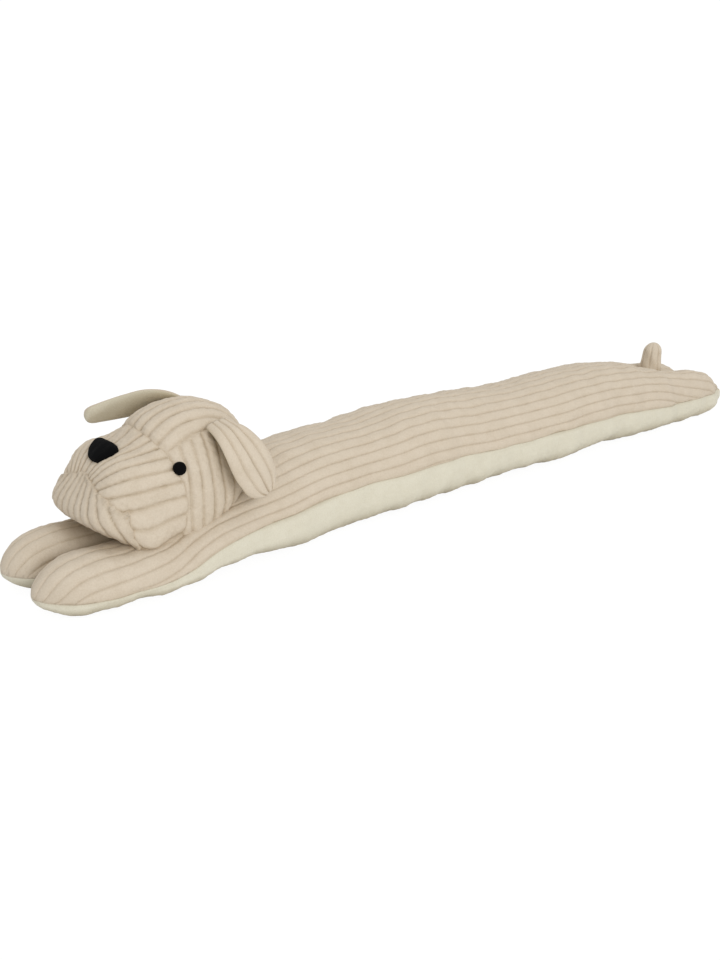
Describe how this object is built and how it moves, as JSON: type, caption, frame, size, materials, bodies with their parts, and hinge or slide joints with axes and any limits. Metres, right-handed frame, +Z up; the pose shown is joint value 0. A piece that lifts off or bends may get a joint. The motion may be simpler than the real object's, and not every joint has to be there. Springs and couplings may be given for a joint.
{
  "type": "draught excluder",
  "caption": "Long stuffed draught excluder in the form of a lying dog, in wide-ribbed plush with a plain plush base, for the foot of a door.",
  "frame": {"origin": "on the floor, at the middle of the flat underside", "axes": "+X along the body towards the tail, the head and front paws at -X; +Z up"},
  "size_m": [0.9, 0.1376, 0.1381],
  "materials": {
    "ribbed_plush": "short pile, wide ribs",
    "plain_plush": "short smooth pile",
    "black_plush": "short dense pile"
  },
  "bodies": {
    "root": {"body_top": "ribbed_plush", "body_base": "plain_plush", "head_crown": "ribbed_plush", "head_muzzle": "ribbed_plush", "head_chin": "ribbed_plush", "cheek_left": "ribbed_plush", "cheek_right": "ribbed_plush", "ear_left": "ribbed_plush", "ear_left_lining": "plain_plush", "ear_right": "ribbed_plush", "ear_right_lining": "plain_plush", "tail": "ribbed_plush", "nose": "black_plush", "eye_left": "black_plush", "eye_right": "black_plush"}
  },
  "joints": []
}
